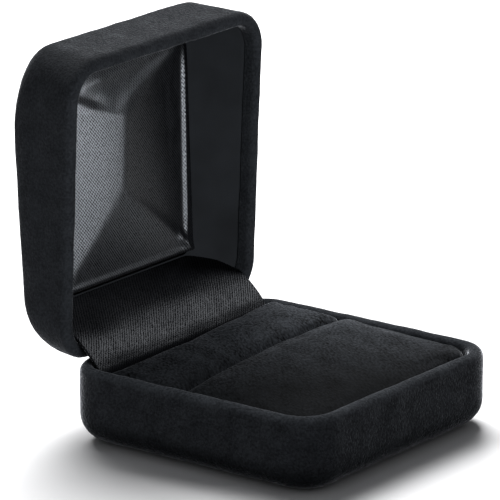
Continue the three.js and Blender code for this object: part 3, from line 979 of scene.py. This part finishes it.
# ---- the object ----
def dress_nodes(plated):
    """Materials for the CAD nodes that stay as they are."""
    looks = {
        "base_shell": moulded("moulded_shell"), "lid_shell": moulded("moulded_lid_shell"),
        "insert_board": board("grey_board"), "lid_card": moulded("black_panel_card"),
        "front_foam": open_foam("front_foam_cells"), "rear_foam": open_foam("rear_foam_cells"),
        "lid_wadding": open_foam("wadding_fibre"),
        "hinge_lower_leaf": plated, "hinge_upper_leaf": plated, "hinge_pin": plated,
        "lower_rivet_left": plated, "lower_rivet_right": plated, "upper_rivet_left": plated,
        "upper_rivet_right": plated,
    }
    for name, material in looks.items():
        paint(frame["nodes"][name], material)


def base_cover(material):
    piece = base_skin()
    roughen(piece, size=6, height=0.12, seed=1)
    roughen(piece, size=0.9, height=0.05, seed=2)
    cut_hinge_room(piece, mirrored=False)
    stand_on_floor(piece)
    finish_piece(piece, "base", material, "velvet", "base_velvet")


def lid_cover(material):
    piece = lid_skin()
    roughen(piece, size=6, height=0.12, seed=5)
    roughen(piece, size=0.9, height=0.05, seed=6)
    cut_hinge_room(piece, mirrored=True)
    set_points(piece, to_open_lid(points_of(piece)))
    finish_piece(piece, "lid", material, "velvet", "lid_velvet")


def lid_inside(lining_material, panel_material):
    walls = lining()
    set_points(walls, to_open_lid(points_of(walls)))
    finish_piece(walls, "lid", lining_material, "lining", "lid_wall_lining")

    panel = satin_panel()
    set_points(panel, to_open_lid(points_of(panel)))
    finish_piece(panel, "lid", panel_material, "satin", "lid_satin_panel")


def build_box():
    # one velvet set two ways: the lid's copy has less sheen, painted shade on its top face, and a slightly
    # lighter colour, painted light
    base_velvet = velvet("base_black_velvet", dark=0.005, light=0.0145, sheen=0.95, fleck=0.95)
    lid_velvet = velvet("lid_black_velvet_painted_shade", dark=0.0065, light=0.0155, sheen=0.25, fleck=0.95)
    # the pads' velvet has painted light: lighter, with more sheen, towards the rear right
    pad_velvet_painted_light = velvet("pad_velvet_painted_light", dark=0.0006, light=0.03, sheen=1, fleck=0.8, brushed_and_lit_towards=(0.56, 0.83, 0))
    panel_satin = satin("panel_satin", colour=(0.001, 0.0011, 0.0013), wales=(0.75, 0, 0.66),
                        crossing=(0.75, 0.66, -0.66), weave_depth=0.014, roughness=0.33,
                        thread_turn=0.25, broken=0.55)
    apron_satin = satin("apron_satin", colour=(0.006, 0.0064, 0.0076), wales=(0.75, 0.5, 0.4),
                        crossing=(0.75, -0.5, -0.4), weave_depth=0.03, roughness=0.5,
                        thread_turn=0, broken=0.85)
    base_cover(base_velvet)
    lid_cover(lid_velvet)
    lid_inside(lining_cloth("lining_cloth"), panel_satin)
    pad("front_pad", FRONT_PAD, pad_velvet_painted_light, "front_pad_cover")
    pad("rear_pad", REAR_PAD, pad_velvet_painted_light, "rear_pad_cover")
    apron(apron_satin)
    plated = nickel("nickel_plate")
    snap_spring(plated)
    dress_nodes(plated)


# ---- floor, light and camera ----
def floor():
    half = 3000
    piece = new_piece("floor", [(-half, -half, 0), (half, -half, 0), (half, half, 0), (-half, half, 0)],
                      [(0, 1, 2, 3)])
    nodes = Nodes("pale_floor")
    nodes.set(Base_Color=(0.86, 0.86, 0.87, 1), Roughness=0.6, Specular_IOR_Level=0.3)
    piece.data.materials.append(nodes.material)


LAMP_TARGET = (0, 5, 30)
SATIN_LIGHT = (0.97, 0.97, 1)


def soft_light(name, direction, distance, size, power, *only, colour=(1, 1, 1)):
    """A square lamp that points at the box. Where pieces are named, it lights only those."""
    lamp = bpy.data.lights.new(name, "AREA")
    lamp.shape = "SQUARE"
    lamp.size = size
    lamp.energy = power
    lamp.color = colour
    holder = bpy.data.objects.new(name, lamp)
    back = Vector(direction).normalized()
    holder.location = Vector(metres(LAMP_TARGET)) + back * distance
    holder.rotation_mode = "QUATERNION"
    holder.rotation_quaternion = back.to_track_quat("Z", "Y")
    bpy.context.scene.collection.objects.link(holder)
    if only:
        lit = bpy.data.collections.new(name + "_light_falls_on")
        for piece in only:
            lit.objects.link(bpy.data.objects[piece])
        holder.light_linking.receiver_collection = lit


def lights():
    soft_light("behind", (0.53, 0.65, 0.95), 0.9, 0.6, 19)
    soft_light("front_right", (0.5, -0.87, 0.15), 0.5, 0.16, 8.5, "satin_panel_cloth", colour=SATIN_LIGHT)
    soft_light("right", (0.8, -0.26, 0.58), 0.7, 0.2, 3.2, "apron_cloth", colour=SATIN_LIGHT)
    soft_light("above", (-0.25, -0.1, 1), 0.9, 0.5, 13, "base_velvet_cloth")
    soft_light("over_pads", (-0.1, 0.1, 1), 0.9, 0.5, 5, "front_pad", "rear_pad")
    soft_light("front", (-0.4, -0.9, -0.02), 0.9, 0.5, 17, "lid_velvet_cloth", "lid_lining_cloth")
    world = bpy.data.worlds.new("studio")
    world.use_nodes = True
    background = world.node_tree.nodes["Background"]
    background.inputs["Color"].default_value = (0.97, 0.98, 1, 1)
    background.inputs["Strength"].default_value = 0.14
    bpy.context.scene.world = world


CAMERA = {"azimuth": -52.211, "elevation": 16.622, "distance": 928, "target": (-9.437, 0, 37.239),
          "roll": -0.418, "lens": 365.77}


def camera():
    azimuth = math.radians(CAMERA["azimuth"])
    elevation = math.radians(CAMERA["elevation"])
    back = Vector((math.sin(azimuth) * math.cos(elevation), -math.cos(azimuth) * math.cos(elevation),
                   math.sin(elevation)))
    data = bpy.data.cameras.new("camera")
    data.sensor_width = 36
    data.lens = CAMERA["lens"]
    data.clip_start = 0.05
    data.clip_end = 20
    holder = bpy.data.objects.new("camera", data)
    turn = (-back).to_track_quat("-Z", "Y").to_matrix().to_4x4()
    roll = Matrix.Rotation(math.radians(CAMERA["roll"]), 4, "Z")
    place = Matrix.Translation((Vector(CAMERA["target"]) + back * CAMERA["distance"]) * MM)
    holder.matrix_world = place @ turn @ roll
    bpy.context.scene.collection.objects.link(holder)
    bpy.context.scene.camera = holder


build_box()
floor()
lights()
camera()
bpy.context.scene.view_settings.view_transform = "Standard"

bpy.context.view_layer.update()
